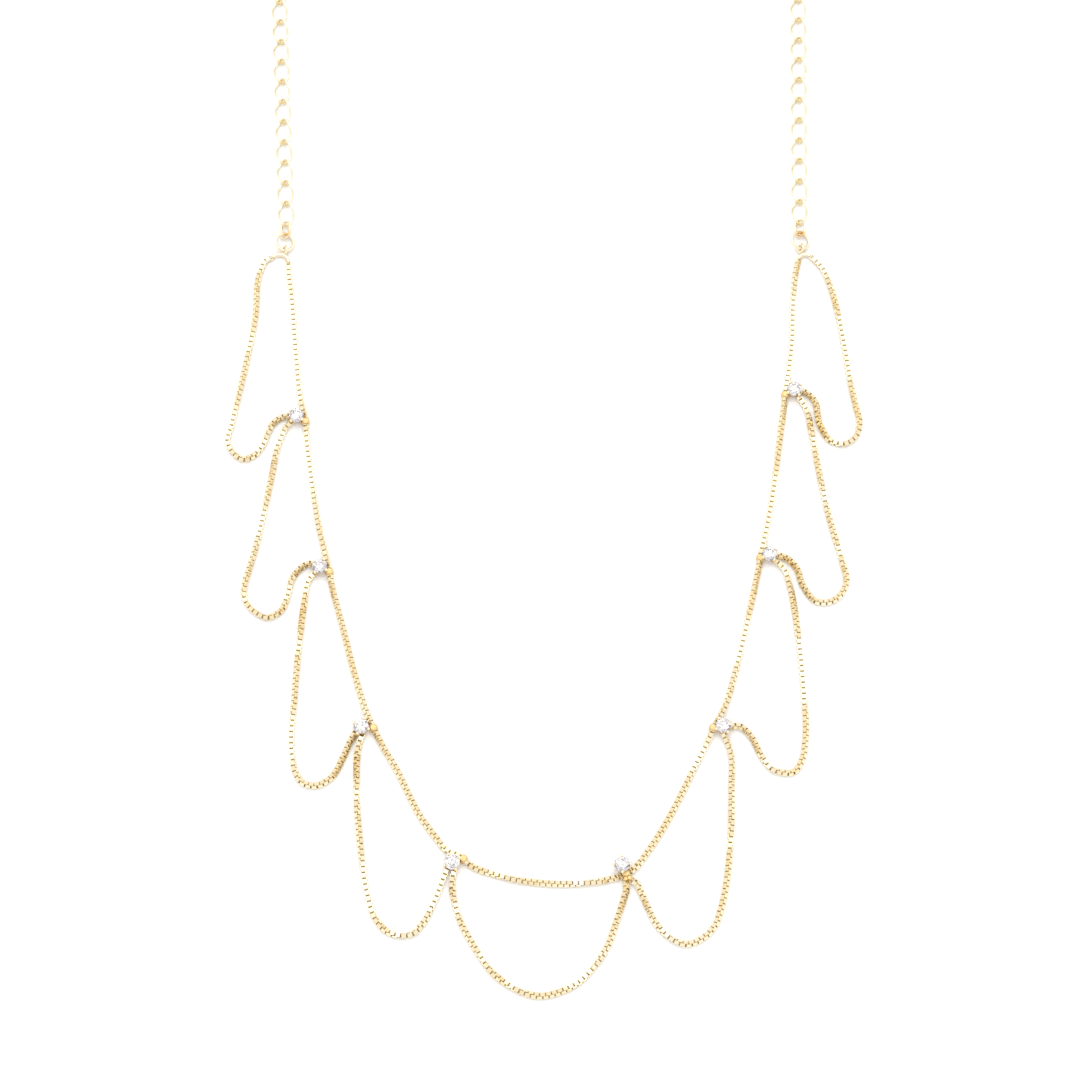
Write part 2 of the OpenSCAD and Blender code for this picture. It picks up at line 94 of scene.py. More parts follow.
# The routes of part.scad, in metres, from left to right
MAIN_ROUTE: Table = (
    (-0.0401, 0.0236), (-0.04, 0.022), (-0.0395, 0.0185), (-0.0385, 0.0085), (-0.0375, 0.0005),
    (-0.0367, -0.0028), (-0.0364, -0.006), (-0.0355, -0.0125), (-0.034, -0.021), (-0.0324, -0.0275),
    (-0.032, -0.0295), (-0.03, -0.037), (-0.028, -0.0445), (-0.026, -0.0505), (-0.0235, -0.0555),
    (-0.022, -0.058), (-0.0175, -0.0665), (-0.016, -0.0685), (-0.014, -0.0708), (-0.0125, -0.0714),
    (-0.0105, -0.073), (-0.0065, -0.0745), (-0.001, -0.0755), (0.0065, -0.0755), (0.0095, -0.075),
    (0.0115, -0.0744), (0.013, -0.0735), (0.015, -0.071), (0.017, -0.068), (0.022, -0.0585),
    (0.024, -0.0545), (0.025, -0.0522), (0.0265, -0.0495), (0.0285, -0.0435), (0.03, -0.0375),
    (0.0323, -0.0275), (0.0328, -0.025), (0.0345, -0.017), (0.0365, -0.004), (0.0373, 0.0015),
    (0.0385, 0.01), (0.039, 0.018), (0.0395, 0.022), (0.0401, 0.0245),
)
SWAG_ROUTES: tuple[Table, ...] = (
    ((-0.0427, 0.0245), (-0.0435, 0.0242), (-0.0443, 0.0225), (-0.045, 0.014), (-0.046, 0.007),
     (-0.047, 0.0015), (-0.048, -0.004), (-0.0485, -0.0065), (-0.0475, -0.0085), (-0.046, -0.0095),
     (-0.0445, -0.009), (-0.043, -0.007), (-0.0425, -0.0055), (-0.0415, -0.0035), (-0.04, -0.0025),
     (-0.0385, -0.0024)),
    ((-0.0386, -0.003), (-0.0396, -0.0042), (-0.0405, -0.0065), (-0.0415, -0.012), (-0.0425, -0.018),
     (-0.0435, -0.0235), (-0.0445, -0.0275), (-0.045, -0.0295), (-0.045, -0.032), (-0.0435, -0.034),
     (-0.0415, -0.035), (-0.0395, -0.034), (-0.0385, -0.0315), (-0.038, -0.029), (-0.037, -0.0275),
     (-0.0355, -0.0265), (-0.034, -0.0268)),
    ((-0.034, -0.0276), (-0.0351, -0.0286), (-0.036, -0.033), (-0.0365, -0.0385), (-0.037, -0.047),
     (-0.037, -0.057), (-0.0365, -0.059), (-0.0355, -0.0605), (-0.0335, -0.061), (-0.0315, -0.06),
     (-0.0295, -0.0565), (-0.0286, -0.0543), (-0.0276, -0.0526)),
    ((-0.0267, -0.0527), (-0.0272, -0.0545), (-0.0275, -0.0615), (-0.027, -0.068), (-0.0265, -0.072),
     (-0.0255, -0.0775), (-0.0245, -0.0805), (-0.022, -0.083), (-0.019, -0.083), (-0.0175, -0.0815),
     (-0.016, -0.0785), (-0.0147, -0.075), (-0.014, -0.0731)),
    ((-0.0129, -0.073), (-0.0133, -0.0755), (-0.0125, -0.08), (-0.01, -0.085), (-0.007, -0.089),
     (-0.005, -0.0905), (-0.003, -0.0915), (-0.0005, -0.092), (0.002, -0.0915), (0.005, -0.09),
     (0.007, -0.088), (0.009, -0.085), (0.0105, -0.081), (0.0115, -0.078), (0.0119, -0.0765),
     (0.0117, -0.075)),
    ((0.0124, -0.0751), (0.0133, -0.0755), (0.014, -0.0768), (0.0147, -0.0785), (0.0165, -0.082),
     (0.018, -0.0835), (0.0205, -0.0845), (0.023, -0.0835), (0.0245, -0.082), (0.0255, -0.0795),
     (0.0265, -0.075), (0.027, -0.071), (0.0275, -0.061), (0.0275, -0.056), (0.0265, -0.053)),
    ((0.0267, -0.0523), (0.029, -0.052), (0.0305, -0.0535), (0.032, -0.0565), (0.0335, -0.0585),
     (0.035, -0.059), (0.0365, -0.059), (0.038, -0.057), (0.0385, -0.0545), (0.0385, -0.046),
     (0.038, -0.038), (0.0375, -0.033), (0.037, -0.03), (0.036, -0.027), (0.0343, -0.0256)),
    ((0.0344, -0.025), (0.0365, -0.0255), (0.038, -0.027), (0.039, -0.03), (0.041, -0.0325),
     (0.043, -0.0325), (0.0445, -0.0315), (0.0455, -0.0295), (0.045, -0.026), (0.044, -0.022),
     (0.043, -0.0175), (0.042, -0.0115), (0.041, -0.0045), (0.0405, -0.0015), (0.039, 0.0012)),
    ((0.039, 0.002), (0.0405, 0.0015), (0.0415, 0.0005), (0.0425, -0.004), (0.044, -0.0065),
     (0.046, -0.007), (0.048, -0.0055), (0.0485, -0.003), (0.048, -0.0005), (0.0475, 0.0025),
     (0.0465, 0.0105), (0.046, 0.014), (0.045, 0.019), (0.0435, 0.023), (0.042, 0.0247)),
)
# What holds the swags' ends, from left to right: a cap's end, a setting's foot, or a bead on the main strand
HOLDERS: tuple[Holder, ...] = (
    (-0.0426, 0.0246, Hold.CAP),
    (-0.03795, -0.0026, Hold.FOOT),
    (-0.0337, -0.0272, Hold.FOOT),
    (-0.02695, -0.0521, Hold.FOOT),
    (-0.0133, -0.0724, Hold.FOOT),
    (0.01187, -0.07416, Hold.BEAD),
    (0.0264, -0.052, Hold.FOOT),
    (0.03395, -0.0252, Hold.FOOT),
    (0.03855, 0.0018, Hold.FOOT),
    (0.0418, 0.02475, Hold.CAP),
)
# How the strands turn: distance in millimetres from the left end, and turn in eighths, which is even where
# the links lie square to the viewer
MAIN_TURNS: Table = (
    (2, 0), (23, 0), (27, 0.5), (30, 0), (37, 0), (45, 0.5), (49, 0.1), (54, 1), (97, 1), (102, 2),
    (106, 3), (109.5, 4), (112, 4.6), (118, 5), (121, 6), (124, 7), (142, 7), (149, 8), (153, 8.2),
    (160, 9), (166, 10), (170, 10), (175, 11), (179, 11), (184, 12), (193, 12), (199, 12.7), (205, 13),
    (211, 14), (223, 14), (228, 15),
)
SWAG_TURNS: tuple[Table, ...] = (
    ((1, 0), (7, 1), (10, 1), (16, 2), (19.5, 2.8), (22, 3), (25, 3.3), (28, 4), (34, 4), (37, 4.8),
     (40, 6), (44, 7)),
    ((0, -0.5), (4, 0), (8, 1), (13, 1), (16.5, 2), (19, 2.1), (22, 3), (27, 3), (31, 4), (34, 4), (37, 5),
     (40, 6), (43.5, 7)),
    ((1, 0.2), (4, 0), (7, 1), (10, 1), (13, 2), (16, 3), (21, 3), (25, 4), (30, 4), (34.5, 5), (44, 5)),
    ((1, 0), (4, 1), (7, 1), (10, 2), (13, 3), (17, 3), (22, 4), (28, 4), (31, 5), (37, 7), (40.5, 8),
     (43, 8)),
    ((1, 0), (4, 1), (7, 2), (10, 3), (13, 3.2), (16, 4), (19, 5), (22, 6), (25, 7), (28, 7), (31, 7.5),
     (34, 8), (37, 9), (44, 9)),
    ((1, 0.5), (5, 1), (8, 1), (10.5, 2), (13.5, 3), (28, 3), (31, 4), (34.5, 5), (41, 5), (43, 5.5)),
    ((0, 1), (7, 1), (10, 2), (13, 3), (22, 3), (26, 4), (34, 4), (37, 5), (41, 5), (46, 6)),
    ((0, 0.6), (4, 1), (19, 1), (22, 2), (25, 3), (28.5, 3), (31, 4), (34, 5), (37, 5), (40, 6), (43, 7),
     (46, 8)),
    ((0, 1), (9, 1), (13, 2), (16, 2.3), (19, 3), (22.5, 3), (26, 4), (34.5, 4), (37.5, 5), (40, 5),
     (43.5, 6)),
)
# The caps' ends that hold the main strand
MAIN_ENDS: tuple[Holder, ...] = ((-0.0401, 0.0237, Hold.CAP), (0.0401, 0.0243, Hold.CAP))
# First seed of the curb chains' small differences, past those of the strands
CURB_SEED = 20


def unit(v: Array) -> Array:
    """Scales vectors to length one: each is divided by the root of the sum of its squares."""
    return v / np.linalg.norm(v, axis=-1, keepdims=True)


def ring_faces(count: int, stations: int, sides: int) -> NDArray[np.int32]:
    """Four-sided faces of closed rings: side j of station i meets side j + 1 and station i + 1, both wrapping
    round.

    Args:
        count: How many rings there are.
        stations: Cross-sections round each ring.
        sides: Corners of each cross-section.

    Returns:
        Corner indices, four a face.
    """
    ring, i, j = np.meshgrid(np.arange(count), np.arange(stations), np.arange(sides), indexing="ij")
    base = ring * stations * sides
    after, beside = (i + 1) % stations, (j + 1) % sides
    corners = (i * sides + j, i * sides + beside, after * sides + beside, after * sides + j)
    return np.stack([base + c for c in corners], axis=-1).reshape(-1, 4).astype(np.int32)


def signed_volume(points: Array, faces: NDArray[np.int32]) -> float:
    """Sums a sixth of the triple product of each triangle's corners, which is positive if faces point out."""
    a, b, c, d = (points[faces[:, n]] for n in range(4))
    return float((np.sum(a * np.cross(b, c)) + np.sum(a * np.cross(c, d))) / 6.0)


def make_mesh(
    name: str, points: Array, faces: NDArray[np.int32], painted_shade: Array, tone: Array, smooth: bool
) -> bpy.types.Object:
    """Puts whole arrays into a new mesh object with its finish attributes.

    Args:
        name: The object's name.
        points: Corner positions, three a row.
        faces: Corner indices, four a row.
        painted_shade: For each corner, how far painted shade deepens the gold's colour there: 1 inside a box
            link
        and where curb links cross, 0 where the metal is open.
        tone: For each corner, its link's own shade between 0 and 1.
        smooth: Whether the faces are shaded smooth.

    Returns:
        The linked object, at the origin.
    """
    if signed_volume(points, faces) < 0.0:
        faces = faces[:, ::-1]
    mesh = bpy.data.meshes.new(name)
    mesh.vertices.add(len(points))
    mesh.vertices.foreach_set("co", points.astype(np.float32).ravel())
    mesh.loops.add(faces.size)
    mesh.loops.foreach_set("vertex_index", np.ascontiguousarray(faces).ravel())
    mesh.polygons.add(len(faces))
    mesh.polygons.foreach_set("loop_start", np.arange(0, faces.size, faces.shape[1], dtype=np.int32))
    mesh.polygons.foreach_set("use_smooth", np.full(len(faces), smooth))
    for label, values in (("painted_shade", painted_shade), ("tone", tone)):
        mesh.attributes.new(label, "FLOAT", "POINT").data.foreach_set("value", values.astype(np.float32))
    mesh.update(calc_edges=True)
    obj = bpy.data.objects.new(name, mesh)
    bpy.context.scene.collection.objects.link(obj)
    return obj


@dataclass(frozen=True)
class Route:
    """A flat smooth curve through given points, ready to be walked by distance."""

    points: Table
    samples: int = 24
    half_chord: float = 2e-4

    def curve(self) -> Array:
        """Samples the curve: each span is a cubic whose end slopes weigh each of the two chords beside it by
        the other's length. At the route's own ends the slope is one and a half times the chord there, less
        half of the slope next to it.

        Returns:
            Sampled points, two a row.
        """
        p = np.array(self.points)
        step = np.diff(p, axis=0)
        length = np.linalg.norm(step, axis=1, keepdims=True)
        chord = step / length
        inner = (chord[:-1] * length[1:] + chord[1:] * length[:-1]) / (length[:-1] + length[1:])
        first, last = 1.5 * chord[:1] - 0.5 * inner[:1], 1.5 * chord[-1:] - 0.5 * inner[-1:]
        slope = np.vstack([first, inner, last])
        u = (np.arange(self.samples) / self.samples)[None, :, None]
        a, b, w = p[:-1, None], p[1:, None], length[:, None]
        spans = (
            a * (1 - 3 * u**2 + 2 * u**3)
            + b * (3 * u**2 - 2 * u**3)
            + slope[:-1, None] * w * (u - 2 * u**2 + u**3)
            + slope[1:, None] * w * (u**3 - u**2)
        )
        return np.vstack([spans.reshape(-1, 2), p[-1:]])

    def walk(self) -> tuple[Array, Array]:
        """Returns the distance along the curve at each sample, and the samples."""
        c = self.curve()
        return np.concatenate([[0.0], np.cumsum(np.linalg.norm(np.diff(c, axis=0), axis=1))]), c

    def between(self, start: Holder, end: Holder) -> tuple[float, float]:
        """Finds where the curve leaves the circle round its first holder and enters the one round its last.

        Args:
            start: Middle and reach of what holds the first end.
            end: Middle and reach of what holds the last end.

        Returns:
            The two distances along the curve.
        """
        s, c = self.walk()
        free = np.linalg.norm(c - np.array(start[:2]), axis=1) > start[2].value
        low = s[np.argmax(free & (s < s[-1] / 2))]
        free = np.linalg.norm(c - np.array(end[:2]), axis=1) > end[2].value
        return float(low), float(s[np.max(np.nonzero(free))])

    def at(self, distance: Array) -> tuple[Array, Array]:
        """Places on the curve and the way it runs there, from a short chord round each place.

        Args:
            distance: Distances along the curve.

        Returns:
            Places and unit directions, two a row.
        """
        s, c = self.walk()
        behind, place, ahead = (
            np.stack([np.interp(distance + step, s, c[:, axis]) for axis in (0, 1)], axis=-1)
            for step in (-self.half_chord, 0.0, self.half_chord)
        )
        return place, unit(ahead - behind)


@dataclass(frozen=True)
class BoxLink:
    """One square link of box chain: a flat strip bent round a square with rounded corners, a little narrower
    on the two bars that pass through the neighbouring links.

    The plate and the bar are half widths of the strip, and the bend's shade is the painted shade that deepens
    the gold's colour between a plate's flat and its bar.
    """

    length: float = 0.8 * MM
    width: float = 0.79 * MM
    strip: float = 0.09 * MM
    plate: float = 0.282 * MM
    bar: float = 0.24 * MM
    corner: float = 0.15 * MM
    pitch: float = 0.429 * MM
    clear: float = 0.01 * MM
    bend_shade: float = 0.5

    def corners(self) -> tuple[Array, Array]:
        """Corners of one link as (along, across, sideways): the square's middle line with three points to
        each rounded corner, plus the strip's four-cornered section laid along the mitred outward way there.

        Returns:
            Corners shaped (12, 4, 3), and the painted shade that deepens the gold's colour at each, shaped
            (12, 4).
        """
        a, b, c = (self.length - self.strip) / 2, (self.width - self.strip) / 2, self.corner
        cut = c * (1.0 - np.sqrt(0.5))
        bend = np.array([(a, b - c), (a - cut, b - cut), (a - c, b)])
        line = np.vstack([bend, bend[::-1] * (-1, 1), -bend, bend[::-1] * (1, -1)])
        ahead, behind = unit(np.roll(line, -1, axis=0) - line), unit(line - np.roll(line, 1, axis=0))
        half_way = unit(ahead + behind)
        mitre = np.sum(half_way * ahead, axis=-1, keepdims=True)
        out = np.stack([half_way[:, 1], -half_way[:, 0]], axis=-1) / mitre
        out *= np.sign(np.sum(out * line, axis=-1, keepdims=True))
        level = self.strip / 2 * np.array([1.0, 1.0, -1.0, -1.0])
        flat = line[:, None] + out[:, None] * level[None, :, None]
        on_bar = np.abs(line[:, 1]) < b - c / 2
        sideways = np.where(on_bar, self.bar, self.plate)[:, None] * [-1.0, 1.0, 1.0, -1.0]
        # Painted shade: the bars and the bends next to them are painted deeper, and the strip's inner side
        # deepest
        shade = np.where(np.abs(line[:, 1]) < b, self.bend_shade, 0.0)[:, None] * np.ones(4)
        shade[:, 2:] = 1.0
        return np.concatenate([flat, sideways[..., None]], axis=-1), shade

    def middle_height(self, turn: Array) -> Array:
        """Height of the middle line that rests links on the floor: half the width times the larger of the
        turn's sine and cosine, plus the plate's half width times the smaller, plus a hair's clearance.

        Args:
            turn: The strand's slow turn at each link.

        Returns:
            The height at each link.
        """
        both = np.sort(np.abs(np.stack([np.sin(turn), np.cos(turn)])), axis=0)
        return self.width / 2 * both[1] + self.plate * both[0] + self.clear


@dataclass(frozen=True)
class Twist:
    """How a strand of chain turns about its own line, as the photograph shows it.

    Each knot is a distance in millimetres and a turn in eighths of a full turn: at an even number the links
    lie square to the viewer, at an odd one they stand on their corners. The tilt is the tangent of the
    viewer's angle from the zenith.
    """

    knots: Table
    tilt: float = 0.364

    def turn(self, distance: Array, way: Array) -> Array:
        """Angle in radians at each distance: the knots joined by straight lines, and the lean that turns a
        link's face from the zenith to the viewer, which is the arc tangent of the tilt times the way's X.

        Args:
            distance: Distances along the strand.
            way: The way the strand runs at each of them, two a row.

        Returns:
            The turn at each distance.
        """
        at, eighths = np.array(self.knots).T
        return np.interp(distance / MM, at, eighths) * np.pi / 4 + np.arctan(self.tilt * way[:, 0])


@dataclass
class BoxStrand:
    """One strand of box chain that lies flat along a route."""

    node: str
    route: Route
    start: Holder
    end: Holder
    twist: Twist
    link: BoxLink = field(default_factory=BoxLink)
    wobble: float = 1.0

    def build(self, seed: int) -> bpy.types.Object:
        """Lays links at an even pitch, each turned a quarter from the last, on top of the strand's slow twist
        and a wobble in degrees. A link's corner is its place + along * way + across * (cos(turn) * left +
        sin(turn) * up) + sideways * the way square to both.

        Args:
            seed: Fixes the small differences between links.

        Returns:
            The strand's mesh object.
        """
        low, high = self.route.between(self.start, self.end)
        count = int((high - low) / self.link.pitch)
        distance = low + (np.arange(count) + 0.5) * (high - low) / count
        place, way = self.route.at(distance)
        rng = np.random.default_rng(seed)
        slow = self.twist.turn(distance, way)
        turn = slow + np.radians(rng.normal(0.0, self.wobble, count)) + np.pi / 2 * (np.arange(count) % 2)
        ahead = np.column_stack([way, np.zeros(count)])
        left = np.column_stack([-way[:, 1], way[:, 0], np.zeros(count)])
        across = np.cos(turn)[:, None] * left + np.sin(turn)[:, None] * UP
        frames = np.stack([ahead, across, np.cross(ahead, across)], axis=1)
        corners, inside = self.link.corners()
        middle = np.column_stack([place, self.link.middle_height(slow)])
        points = middle[:, None, None] + np.einsum("ijc,ncx->nijx", corners, frames)
        stations, sides = corners.shape[:2]
        painted_shade = np.broadcast_to(inside, (count, stations, sides)).reshape(-1)
        tone = np.repeat(rng.random(count), stations * sides)
        faces = ring_faces(count, stations, sides)
        return make_mesh(f"{self.node}_links", points.reshape(-1, 3), faces, painted_shade, tone, smooth=False)

    def dress(self, obj: bpy.types.Object, gold: bpy.types.Material) -> None:
        """Gives the strand its gold and lets it stand for its tube.

        Args:
            obj: The strand's mesh object.
            gold: Its finish.
        """
        obj.data.materials.append(gold)
        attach(obj, "root")
        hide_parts(self.node)


@dataclass
class CurbRun:
    """One curb chain: interlocking twisted links from the small ring to the clasp.

    It starts at a point given as if on the right, leans outward by some degrees, and goes straight until it
    turns on a circle into the top run. The crossing is the stretch of a link, as shares of its half length,
    over which painted shade deepens its colour, fullest where two links cross.
    """

    node: str
    side: Side
    start: tuple[float, float]
    outward: float
    straight: float
    top: float = 90.95 * MM
    links: int = 25
    pitch: float = 3.65 * MM
    wire: float = 0.38 * MM
    half_length: float = 2.145 * MM
    half_width: float = 1.18 * MM
    rise: float = 0.44 * MM
    height: float = 0.63 * MM
    stations: int = 36
    sides: int = 10
    sharpness: float = 1.25
    crossing: tuple[float, float] = (0.76, 0.92)

    def line(self, s: Array) -> Array:
        """Middle line of the chain: straight up, round the corner on a circle, then straight along the top.

        Args:
            s: Distances from the chain's front end.

        Returns:
            Places, two a row.
        """
        lean = np.radians(self.outward)
        way = np.array([np.sin(lean), np.cos(lean)])
        inward = np.array([-way[1], way[0]])
        corner = np.array(self.start) + way * self.straight
        radius = (self.top - corner[1]) / (1 + way[0])
        bend = np.pi / 2 + lean
        turned = np.clip((s - self.straight) / radius, 0.0, bend)[:, None]
        before = np.clip(self.straight - s, 0.0, None)[:, None]
        after = np.clip(s - self.straight - radius * bend, 0.0, None)[:, None]
        centre = corner + inward * radius
        place = centre - way * before + (way * np.sin(turned) - inward * np.cos(turned)) * radius
        return (place - after * np.array([1.0, 0.0])) * np.array([float(self.side.value), 1.0])

    def link(self) -> tuple[Array, Array]:
        """One link: x = half width * sin(t) and y = half length * cos(t), with the sine and cosine raised to
        the sharpness, and z = rise * sin(2t). A round section is laid square to that line at each station.

        Returns:
            Corners shaped (stations, sides, 3), and for each corner its painted shade, fullest where links
            cross.
        """
        t = 2 * np.pi * np.arange(self.stations) / self.stations
        x, y = (np.sign(f) * np.abs(f) ** self.sharpness for f in (np.sin(t), np.cos(t)))
        middle = np.column_stack([self.half_width * x, self.half_length * y, self.rise * np.sin(2 * t)])
        way = unit(np.roll(middle, -1, axis=0) - np.roll(middle, 1, axis=0))
        out = unit(np.cross(way, UP))
        over = np.cross(out, way)
        a = (2 * np.pi * np.arange(self.sides) / self.sides)[None, :, None]
        corners = middle[:, None] + self.wire / 2 * (np.cos(a) * out[:, None] + np.sin(a) * over[:, None])
        # Painted shade: deeper towards a link's ends, where two links cross
        crossing_shade = np.interp(np.abs(middle[:, 1]) / self.half_length, self.crossing, (0.0, 1.0))
        return corners, np.repeat(crossing_shade[:, None], self.sides, axis=1)

    def build(self, seed: int) -> bpy.types.Object:
        """Sets each link on the chord between two even steps of the middle line, turned to that chord.

        Args:
            seed: Fixes the small differences between links.

        Returns:
            The chain's mesh object.
        """
        joints = self.line(np.arange(self.links + 1) * self.pitch)
        middle = np.column_stack([(joints[1:] + joints[:-1]) / 2, np.full(self.links, self.height)])
        way = unit(joints[1:] - joints[:-1])
        zeros = np.zeros(self.links)
        right = np.column_stack([way[:, 1], -way[:, 0], zeros])
        upward = np.broadcast_to(UP, (self.links, 3))
        frames = np.stack([right, np.column_stack([way, zeros]), upward], axis=1)
        corners, crossing_shade = self.link()
        points = middle[:, None, None] + np.einsum("ijc,ncx->nijx", corners, frames)
        painted_shade = np.broadcast_to(crossing_shade, (self.links, self.stations, self.sides)).reshape(-1)
        tone = np.repeat(np.random.default_rng(seed).random(self.links), self.stations * self.sides)
        faces = ring_faces(self.links, self.stations, self.sides)
        return make_mesh(f"{self.node}_links", points.reshape(-1, 3), faces, painted_shade, tone, smooth=True)

    def dress(self, obj: bpy.types.Object, gold: bpy.types.Material) -> None:
        """Gives the chain its gold and lets it stand for the plainer links.

        Args:
            obj: The chain's mesh object.
            gold: Its finish.
        """
        obj.data.materials.append(gold)
        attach(obj, "root")
        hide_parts(self.node)


class Nodes:
    """Shorthand for a node tree that is being filled."""

    def __init__(self, tree: bpy.types.NodeTree) -> None:
        """Keeps the tree."""
        self.tree = tree

    def add(self, kind: str, /, **settings: object) -> bpy.types.Node:
        """Adds a node.

        Args:
            kind: The node's type name, without its shader prefix where it has one.
            **settings: Attributes of the node.

        Returns:
            The new node.
        """
        node = self.tree.nodes.new(kind if kind.startswith("Node") else f"ShaderNode{kind}")
        for name, value in settings.items():
            setattr(node, name, value)
        return node

    def link(self, source: Socket, target: Socket) -> None:
        """Joins an output to an input."""
        self.tree.links.new(source, target)

    def noise(self, vector: Socket, scale: float | Socket, detail: float) -> Socket:
        """Adds a noise texture.

        Args:
            vector: Where the pattern is read.
            scale: Its scale, as a number or a socket.
            detail: Its detail.

        Returns:
            The noise's value.
        """
        node = self.add("TexNoise")
        node.inputs["Detail"].default_value = detail
        self.link(vector, node.inputs["Vector"])
        if isinstance(scale, Socket):
            self.link(scale, node.inputs["Scale"])
        else:
            node.inputs["Scale"].default_value = scale
        return node.outputs["Fac"]

    def mapped(
        self, value: Socket, low: float, high: float, to_low: float | Socket, to_high: float | Socket
    ) -> Socket:
        """Maps a value from one range to another.

        Args:
            value: The value.
            low: Where the first range starts.
            high: Where the first range ends.
            to_low: Where the second range starts, as a number or a socket.
            to_high: Where the second range ends, as a number or a socket.

        Returns:
            The mapped value.
        """
        node = self.add("MapRange")
        self.link(value, node.inputs["Value"])
        node.inputs["From Min"].default_value, node.inputs["From Max"].default_value = low, high
        for name, end in (("To Min", to_low), ("To Max", to_high)):
            if isinstance(end, Socket):
                self.link(end, node.inputs[name])
            else:
                node.inputs[name].default_value = end
        return node.outputs["Result"]


class PolishGroup:
    """Node group of polished metal: fine handling marks as a height, and a roughness that varies with them.

    The height is a fine noise, and the roughness follows that noise times a broad one, over the product's
    usual range.
    """

    fine_detail: float = 6.0
    broad_scale: float = 900.0
    broad_detail: float = 2.0
    product_range: tuple[float, float] = (0.12, 0.42)

    def __init__(self) -> None:
        """Builds the group."""
        tree = bpy.data.node_groups.new("polish_marks", "ShaderNodeTree")
        face = tree.interface
        for name, default in (("Scale", 4000.0), ("Smoothest", 0.14), ("Roughest", 0.3)):
            face.new_socket(name, in_out="INPUT", socket_type="NodeSocketFloat").default_value = default
        face.new_socket("Roughness", in_out="OUTPUT", socket_type="NodeSocketFloat")
        face.new_socket("Height", in_out="OUTPUT", socket_type="NodeSocketFloat")
        n = Nodes(tree)
        into, out = n.add("NodeGroupInput"), n.add("NodeGroupOutput")
        place = n.add("TexCoord").outputs["Object"]
        fine = n.noise(place, into.outputs["Scale"], self.fine_detail)
        broad = n.noise(place, self.broad_scale, self.broad_detail)
        mixed = n.add("Math", operation="MULTIPLY")
        n.link(fine, mixed.inputs[0])
        n.link(broad, mixed.inputs[1])
        ends = into.outputs["Smoothest"], into.outputs["Roughest"]
        n.link(n.mapped(mixed.outputs[0], *self.product_range, *ends), out.inputs["Roughness"])
        n.link(fine, out.inputs["Height"])
        self.tree = tree


class GoldColourGroup:
    """Node group of gold's colour: pale where it is open, deeper where its depth says, which in the links is
    painted shade inside them and where they cross, with a tone of its own per link and a slow drift along the
    strands.

    The shade is the link's tone times its share, plus a mottle noise, plus a drift noise times its share. It
    deepens the colour over its usual range.
    """

    tone_share: float = 0.3
    mottle_scale: float = 1400.0
    mottle_detail: float = 3.0
    drift_scale: float = 75.0
    drift_detail: float = 1.0
    drift_share: float = 1.6
    shade_range: tuple[float, float] = (1.15, 1.85)

    def __init__(self) -> None:
        """Builds the group."""
        tree = bpy.data.node_groups.new("gold_colour", "ShaderNodeTree")
        face = tree.interface
        for name in ("Pale", "Deep"):
            face.new_socket(name, in_out="INPUT", socket_type="NodeSocketColor")
        for name, default in (("Depth", 0.0), ("Tone", 0.5), ("Spread", 0.2)):
            face.new_socket(name, in_out="INPUT", socket_type="NodeSocketFloat").default_value = default
        face.new_socket("Color", in_out="OUTPUT", socket_type="NodeSocketColor")
        n = Nodes(tree)
        into, out = n.add("NodeGroupInput"), n.add("NodeGroupOutput")
        place = n.add("TexCoord").outputs["Object"]
        shade = n.add("Math", operation="MULTIPLY_ADD")
        n.link(into.outputs["Tone"], shade.inputs[0])
        shade.inputs[1].default_value = self.tone_share
        n.link(n.noise(place, self.mottle_scale, self.mottle_detail), shade.inputs[2])
        drift = n.add("Math", operation="MULTIPLY_ADD")
        n.link(n.noise(place, self.drift_scale, self.drift_detail), drift.inputs[0])
        drift.inputs[1].default_value = self.drift_share
        n.link(shade.outputs[0], drift.inputs[2])
        part = n.add("Math", operation="MULTIPLY")
        n.link(n.mapped(drift.outputs[0], *self.shade_range, 0.0, 1.0), part.inputs[0])
        n.link(into.outputs["Spread"], part.inputs[1])
        deep = n.add("Math", operation="MAXIMUM")
        n.link(part.outputs[0], deep.inputs[0])
        n.link(into.outputs["Depth"], deep.inputs[1])
        # A colour mix has its two colours in inputs 6 and 7, and its result in output 2
        mix = n.add("Mix", data_type="RGBA")
        n.link(deep.outputs[0], mix.inputs["Factor"])
        n.link(into.outputs["Pale"], mix.inputs[6])
        n.link(into.outputs["Deep"], mix.inputs[7])
        n.link(mix.outputs[2], out.inputs["Color"])
        self.tree = tree


class Depth(Enum):
    """What deepens a gold's colour: painted shade in the links, the solder's height on the settings, the spot
    where two rings meet.
    """

    LINKS = "the links' own attributes"
    SOLDER = "the height up to which there is solder"
    # Deeper colour round the spot where two rings meet
    MEET = "the spot where two rings rub"


